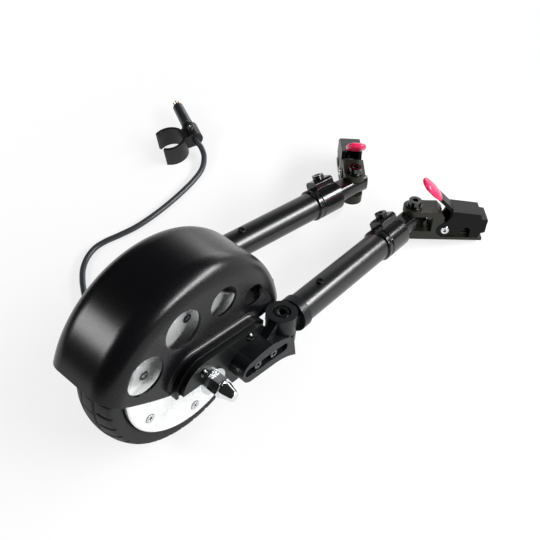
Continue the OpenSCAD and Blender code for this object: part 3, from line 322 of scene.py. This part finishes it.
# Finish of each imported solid, for those that come left and right and for the others
SIDED = {
    "bracket": BLASTED_ANODISED, "knuckle": BLASTED_ANODISED, "fork_plate": POWDER_COATED_STEEL,
    "pivot_bolt": BLACK_OXIDE, "tube_screw": BLACK_OXIDE, "lock_bolt": BLACK_OXIDE,
    "swivel_bolt": BLACK_OXIDE, "outer_tube": ANODISED_TUBE, "sliding_bar": BRIGHT_ANODISED,
    "lock_collar": BRIGHT_ANODISED, "latch_body": PHOSPHATED_ZINC, "jaw": LACQUERED_STEEL,
    "jaw_pin": ZINC_PLATE, "jaw_spring": PHOSPHATED_WIRE, "grip": DIPPED_VINYL, "hub_cover": TURNED_COVER}
SINGLE = {
    "tyre": TYRE_RUBBER, "hub_shell": DIE_CAST, "hub_cover_screws": ZINC_PLATE, "hub_bearings": GROUND_STEEL,
    "rotor_magnets": NICKEL_MAGNET, "stator": LAMINATIONS, "stator_coils": COPPER_WINDING,
    "axle": ZINC_PLATE, "axle_spacers": ZINC_PLATE, "axle_washers": ZINC_PLATE, "axle_nuts": CHROME_PLATE,
    "fender": MOULDED_ABS, "fender_screws": BLACK_OXIDE, "bracket_bolts": BURNISHED_STEEL,
    "cable_gland": FILLED_NYLON, "motor_cable": PVC_JACKET, "plug_body": OVERMOULDED_PVC,
    "plug_pins": PIN_GOLD, "cable_clip": FILLED_NYLON, "clip_screw": ZINC_PLATE}
for name, node in nodes.items():
    side, _, piece = name.partition("_")
    material = SINGLE.get(name) or SIDED[piece]
    node.data.materials.clear()
    node.data.materials.append(material[side] if isinstance(material, dict) else material)


# Camera: its place and turn were fitted to the wheel, arms, latches and cable of the photograph

CAMERA_SENSOR_MM, CAMERA_LENS_MM = 36.0, 63.33
CAMERA_AT = (-0.39679, -0.47711, 0.83145)
CAMERA_RIGHT = (0.68037, -0.72514, -0.10617)
CAMERA_UP = (0.61108, 0.48135, 0.62840)
CAMERA_BACK = (-0.40457, -0.49242, 0.77061)

optics = bpy.data.cameras.new("photo_camera")
optics.sensor_width, optics.lens = CAMERA_SENSOR_MM, CAMERA_LENS_MM
optics.clip_start, optics.clip_end = 0.05, 50.0
camera = bpy.data.objects.new("photo_camera", optics)
stand(camera, CAMERA_RIGHT, CAMERA_UP, CAMERA_BACK, CAMERA_AT)
scene.camera = camera


# Motor cable: its route starts at the gland and lies on the floor up to the clip and plug

CABLE_D = 7 * MM
CABLE_LIE = 3.55 * MM  # height of its middle on the floor
CABLE_STEPS, CABLE_SIDES = 8, 20
CABLE_BELOW_AXLE = [  # measured from the floor below the axle
    (-0.01249, 0.043, 0.08152), (-0.01848, 0.043, 0.07266), (-0.024, 0.046, 0.055), (-0.025, 0.055, 0.037),
    (-0.022, 0.071, 0.021), (-0.016, 0.092, 0.010), (-0.008, 0.117, 0.005), (0.001, 0.142, CABLE_LIE),
    (0.009, 0.166, CABLE_LIE), (0.017, 0.187, CABLE_LIE), (0.025, 0.201, CABLE_LIE),
    (0.034, 0.214, CABLE_LIE), (0.045, 0.226, CABLE_LIE), (0.059, 0.235, CABLE_LIE),
    (0.074, 0.239, CABLE_LIE), (0.089, 0.237, CABLE_LIE), (0.106, 0.231, CABLE_LIE),
    (0.126, 0.225, CABLE_LIE), (0.148, 0.222, CABLE_LIE), (0.172, 0.221, CABLE_LIE),
    (0.198, 0.222, CABLE_LIE), (0.224, 0.225, CABLE_LIE), (0.245, 0.231, 0.00405), (0.260, 0.242, 0.00655),
    (0.2675, 0.2545, 0.0105), (0.27093, 0.26812, 0.013), (0.28107, 0.28988, 0.013)]
cable_path = smooth_path(np.array(CABLE_BELOW_AXLE) + [AXLE[0], 0, 0], CABLE_STEPS)
cable = surface_piece("cable_jacket", round_tube(cable_path, CABLE_D / 2, CABLE_SIDES), "frame", PVC_JACKET)
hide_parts("motor_cable")


# Tyre: a rounded section with two round grooves, slanted cuts in the shoulders and fine sipes in the middle

TYRE_SECTION = [  # (distance from the middle plane, radius) in mm, from the bead to the crown
    (20.5, 77.2), (22.6, 78.4), (23.7, 82.0), (23.95, 86.5), (23.7, 90.8), (22.4, 93.6), (17.6, 96.3),
    (12.0, 98.3), (6.0, 99.5), (0.0, 99.9)]
SECTION_STEPS = 12
TREAD_WALL = 0.5  # mm over which the side of a groove or cut falls
TREAD_FROM_R, TREAD_FADE = 88, 3  # mm radius where the tread sets in on the sidewall
# Grooves, cuts and sipes in mm, with their places from the middle plane; a lean is a shift round per mm out
GROOVE_DEPTH, GROOVE_WIDTH, GROOVE_OUT = 2.2, 2.4, 8
CUTS, CUT_PITCH = 36, 16.6  # round the tyre, and their spacing
CUT_DEPTH, CUT_WIDTH, CUT_FROM, CUT_TO, CUT_FADE = 2.4, 2.6, 11.2, 23.8, 0.8
CUT_LEAN, CUT_LEANS_ABOUT = 0.42, 17
SIPE_DEPTH, SIPE_WIDTH, SIPE_TO, SIPE_FADE, SIPE_LEAN = 1.2, 1.2, 6.2, 0.6, 0.25


def tread_depth(angle, y):
    """Depth in mm at an angle and a distance y from the middle: the deepest of grooves, cuts and sipes.

    Each is a channel of a depth and width. A cut or sipe moves on round the tyre with y, by its
    lean, and fades in and out between two distances from the middle."""
    def channel(x, width):
        """1 within a width about x = 0, falling to 0 over the wall."""
        return ramp(width / 2 - np.abs(x) + TREAD_WALL / 2, TREAD_WALL)

    def off_centre(shift):
        """Distance round the tyre in mm from the nearest of the even places, moved on by a shift."""
        return ((angle / (2 * np.pi) * CUTS + shift / CUT_PITCH) % 1 - 0.5) * CUT_PITCH

    out = np.abs(y)
    groove = GROOVE_DEPTH * channel(out - GROOVE_OUT, GROOVE_WIDTH)
    cut = CUT_DEPTH * channel(off_centre(CUT_LEAN * np.sign(y) * (out - CUT_LEANS_ABOUT)), CUT_WIDTH)
    cut = cut * ramp(out - CUT_FROM, CUT_FADE) * ramp(CUT_TO - out, CUT_FADE)
    sipe = SIPE_DEPTH * channel(off_centre(SIPE_LEAN * y), SIPE_WIDTH) * ramp(SIPE_TO - out, SIPE_FADE)
    return np.maximum(np.maximum(groove, cut), sipe)


def tyre_surface(turns=960, across=91):
    """The section, evenly spaced by length, carried round the axle; each point sinks along its normal."""
    half = np.array(TYRE_SECTION)
    whole = np.vstack([half, half[-2::-1] * [-1, 1]])
    curve = smooth_path(np.column_stack([whole, np.zeros(len(whole))]), SECTION_STEPS)[:, :2]
    length = np.concatenate([[0], np.cumsum(np.linalg.norm(np.diff(curve, axis=0), axis=1))])
    even = np.linspace(0, length[-1], across)
    y, r = np.interp(even, length, curve[:, 0]), np.interp(even, length, curve[:, 1])
    slope = unit(np.column_stack([np.gradient(y), np.gradient(r)]))
    angle = np.linspace(0, 2 * np.pi, turns, endpoint=False)[:, None]
    depth = tread_depth(angle, y[None]) * ramp(r[None] - TREAD_FROM_R, TREAD_FADE)
    return round_axle(y - depth * slope[:, 1], r + depth * slope[:, 0], angle)


tyre = surface_piece("tyre_tread", tyre_surface(), "wheel", TYRE_RUBBER, close_rows=True)
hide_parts("tyre")


# Grips: each lever's end was dipped, which leaves a swollen paddle with a round lip

LEVER_ROOT, LEVER_LEAN = (42.5, 15.6), np.radians(137)  # mm ahead of and above the swivel; turn up from ahead
GRIP_FROM, GRIP_TO = 22.8, 51.0  # mm along the lever
GRIP_HALF_W, GRIP_HALF_T = 11.4, 4.0
MOUTH_SLIMMER_W, MOUTH_SLIMMER_T = 1.6, 1.3  # mm
SWELL_OVER = 0.35  # share of the length
GRIP_POWER = 2.4
GRIP_LIP = np.array([  # half width, half thickness and distance from the mouth in mm, from the inside out
    (8.52, 2.02, 1.6), (8.6, 2.1, 0.5), (9.0, 2.5, 0.05)])


def latch_frame(side):
    """A latch's swivel point and its directions ahead and across; up is RISE for both latches."""
    ahead = unit(np.cross(RISE, joints[side + "_jaw_open"]["axis"]))
    return np.array(joints[side + "_latch_swivel"]["pos_m"]), ahead, np.cross(RISE, ahead)


def grip_surface(side, rows=48, columns=56):
    """Superellipse carried along the lever: it swells from the mouth over the first third and closes at the
    tip as (1 - a^6)^0.45 in width and (1 - a^8)^0.5 in thickness; its first rows turn in as a lip."""
    at, ahead, cross = latch_frame(side)
    along = np.cos(LEVER_LEAN) * ahead + np.sin(LEVER_LEAN) * RISE
    normal = np.cos(LEVER_LEAN) * RISE - np.sin(LEVER_LEAN) * ahead
    root = at + MM * (LEVER_ROOT[0] * ahead + LEVER_ROOT[1] * RISE)
    a = np.sin(np.linspace(0, np.pi / 2, rows))
    slim = 1 - smooth_step(a, SWELL_OVER)
    width = (GRIP_HALF_W - MOUTH_SLIMMER_W * slim) * np.maximum(1 - a**6, 0) ** 0.45
    thick = (GRIP_HALF_T - MOUTH_SLIMMER_T * slim) * np.maximum(1 - a**8, 0) ** 0.5
    body = np.column_stack([width, thick, (GRIP_TO - GRIP_FROM) * a])
    width, thick, reach = np.vstack([GRIP_LIP, body]).T[..., None, None]
    c, s = superellipse(columns, GRIP_POWER)
    return root + MM * ((GRIP_FROM + reach) * along + width * c * cross + thick * s * normal)


for side in SIDES:
    grip = surface_piece(side + "_dipped_grip", grip_surface(side), side + "_jaw_group", DIPPED_VINYL)
    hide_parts(side + "_grip")


# Hook of each jaw: the block between its side plates that holds the catch, seen from behind past the pin

HOOK_AT, HOOK_HALF, HOOK_HALF_W = (75.2, -3.4), (5.6, 9.1), 8.2  # mm ahead and above the swivel, and across
HOOK_POWER = 6
# Rows of the hook: a point, two full outlines and a point, at the two sides of the jaw
HOOK_SIZES = np.array([0.0, 1.0, 1.0, 0.0])[:, None, None]
HOOK_ENDS = np.array([-1.0, -1.0, 1.0, 1.0])[:, None, None]


def jaw_hook(side, columns=48):
    """Superellipse like a box with round edges, carried across the jaw; both ends close to a point."""
    at, ahead, cross = latch_frame(side)
    c, s = superellipse(columns, HOOK_POWER)
    forth = HOOK_AT[0] + HOOK_SIZES * HOOK_HALF[0] * c
    up = HOOK_AT[1] + HOOK_SIZES * HOOK_HALF[1] * s
    return at + MM * (forth * ahead + HOOK_HALF_W * HOOK_ENDS * cross + up * RISE)


for side in SIDES:
    hook = surface_piece(side + "_jaw_hook", jaw_hook(side), side + "_jaw_group", LACQUERED_STEEL)


# Splash lip: the nose turns in under itself, which closes the view through the front hole

LIP_HALF_W, LIP_T = 31.0, 1.6  # mm
LIP_WALL_R, LIP_DROP = 113.6, 5.6  # mm radius of the fender's wall, and how far in the lip leaves it
LIP_DROP_OVER = 0.8  # share of the way
LIP_FROM_DEG, LIP_SPAN_DEG = 24, 26


def splash_lip(rows=40, end_points=7):
    """Strip with round edges across the nose, carried down round the axle; its radius eases in from the
    fender's wall by a smooth step, and both ends close to a line."""
    way = np.linspace(0, 1, rows)[:, None]
    radius = LIP_WALL_R - LIP_DROP * smooth_step(way, LIP_DROP_OVER)
    angle = np.radians(LIP_FROM_DEG - LIP_SPAN_DEG * way)
    round_end = np.linspace(-np.pi / 2, np.pi / 2, end_points)
    edge = LIP_HALF_W + LIP_T / 2 * np.cos(round_end)
    off = LIP_T / 2 * np.sin(round_end)
    thick = np.ones((rows, 1))
    thick[[0, -1]] = 0.0
    return round_axle(np.concatenate([edge, -edge]), radius + thick * np.concatenate([off, -off]), angle)


lip = surface_piece("nose_splash_lip", splash_lip(), "frame", MOULDED_ABS)


# Floor, light and background

FLOOR_HALF, FLOOR_Z = 6.0, -0.0003  # metres, just clear of the cable's underside
SHADOW_FULL, SHADOW_GONE = 0.2, 0.55  # metres from the origin between which the shadow fades
FLOOR_WHITE = 0.7  # share of plain white in the floor where the shadow is full
BACKDROP_WAY = (0.96, 0.28, 0.0)
BACKDROP_EDGE, BACKDROP_FULL = 0.6, 0.95  # cosine of the angle from that way
BACKDROP_LOW, BACKDROP_TOP = 0.15, 0.5  # sine of the height between which the backdrop fades
ROOM_GLOW, ROOM_FILL = 0.02, 0.25  # strength of the dark room in mirrors, and of the even fill
WHITE = (1, 1, 1, 1)
LAMPS = [  # name, place and aim in metres, sides in metres, watts
    ("side_strip", (0.6, -0.85, 0.62), (0.0, 0.0, 0.12), (1.3, 0.18), 27.0),
    ("rear_box", (-0.99, 0.76, 0.9), (-0.2, 0.0, 0.15), (0.42, 0.42), 8.5),
    ("backdrop_glow", (1.6, 0.6, 0.4), (0.0, 0.0, 0.1), (0.9, 0.5), 4.0)]


def pale_floor():
    """A pale sheet that keeps the device's shadow and runs out into the white of the background."""
    material, tree = new_material("white_paper_sweep")
    place = add(tree, "ShaderNodeTexCoord").outputs["Object"]
    reach = add(tree, "ShaderNodeVectorMath", {0: place}, operation="LENGTH")
    out = add(tree, "ShaderNodeMapRange", {
        "Value": reach.outputs["Value"], "From Min": SHADOW_FULL, "From Max": SHADOW_GONE,
        "To Min": FLOOR_WHITE, "To Max": 1.0}, interpolation_type="SMOOTHSTEP")
    ray = add(tree, "ShaderNodeLightPath").outputs
    seen = add(tree, "ShaderNodeMath", {0: ray["Is Camera Ray"], 1: ray["Is Glossy Ray"]},
               operation="MAXIMUM")
    seen = add(tree, "ShaderNodeMath", {0: seen.outputs[0], 1: ray["Is Transmission Ray"]},
               operation="MAXIMUM")
    share = add(tree, "ShaderNodeMath", {0: seen.outputs[0], 1: out.outputs["Result"]}, operation="MULTIPLY")
    paper = add(tree, "ShaderNodeBsdfDiffuse", {"Color": linear("#f7f7f7")})
    white = add(tree, "ShaderNodeEmission", {"Color": WHITE, "Strength": 1.0})
    mixed = add(tree, "ShaderNodeMixShader", {0: share.outputs[0], 1: paper.outputs[0], 2: white.outputs[0]})
    add(tree, "ShaderNodeOutputMaterial", {"Surface": mixed.outputs[0]})
    mesh = bpy.data.meshes.new("floor")
    corners = [(x * FLOOR_HALF, y * FLOOR_HALF, FLOOR_Z) for x, y in ((-1, -1), (1, -1), (1, 1), (-1, 1))]
    mesh.from_pydata(corners, [], [(0, 1, 2, 3)])
    mesh.materials.append(material)
    floor = bpy.data.objects.new("floor", mesh)
    scene.collection.objects.link(floor)


def soft_box(name, place, aim, sides, watts):
    """An area lamp at a place, turned to a point, with its first side level."""
    data = bpy.data.lights.new(name, "AREA")
    data.shape, data.energy = "RECTANGLE", watts
    data.size, data.size_y = sides
    back = unit(np.subtract(place, aim))
    level = unit(np.cross(UP, back))
    stand(bpy.data.objects.new(name, data), level, np.cross(back, level), back, place)


def studio_world():
    """A dark room with a white backdrop beyond the arms where it is mirrored, plain white where it is seen,
    and an even fill for the rest."""
    world = bpy.data.worlds.new("white_room")
    scene.world = world
    world.use_nodes = True
    tree = world.node_tree
    tree.nodes.clear()
    ray = add(tree, "ShaderNodeLightPath").outputs
    seen = add(tree, "ShaderNodeMath", {0: ray["Is Camera Ray"], 1: ray["Is Transmission Ray"]},
               operation="MAXIMUM")
    way = add(tree, "ShaderNodeTexCoord").outputs["Generated"]
    height = add(tree, "ShaderNodeSeparateXYZ", {0: way})
    wall = add(tree, "ShaderNodeMapRange", {
        "Value": height.outputs["Z"], "From Min": BACKDROP_LOW, "From Max": BACKDROP_TOP,
        "To Min": 1.0, "To Max": 0.0}, interpolation_type="SMOOTHSTEP")
    ahead = add(tree, "ShaderNodeVectorMath", {0: way, 1: BACKDROP_WAY}, operation="DOT_PRODUCT")
    spread = add(tree, "ShaderNodeMapRange", {
        "Value": ahead.outputs["Value"], "From Min": BACKDROP_EDGE, "From Max": BACKDROP_FULL},
        interpolation_type="SMOOTHSTEP")
    mirrored = add(tree, "ShaderNodeMath", {
        0: wall.outputs["Result"], 1: spread.outputs["Result"], 2: ROOM_GLOW}, operation="MULTIPLY_ADD")
    level = add(tree, "ShaderNodeMix", {0: ray["Is Glossy Ray"], 2: ROOM_FILL, 3: mirrored.outputs[0]},
                data_type="FLOAT")
    level = add(tree, "ShaderNodeMath", {0: level.outputs[0], 1: seen.outputs[0]}, operation="MAXIMUM")
    sky = add(tree, "ShaderNodeBackground", {"Color": WHITE, "Strength": level.outputs[0]})
    add(tree, "ShaderNodeOutputWorld", {"Surface": sky.outputs[0]})


pale_floor()
studio_world()
for lamp in LAMPS:
    soft_box(*lamp)

scene.view_settings.view_transform = "Standard"
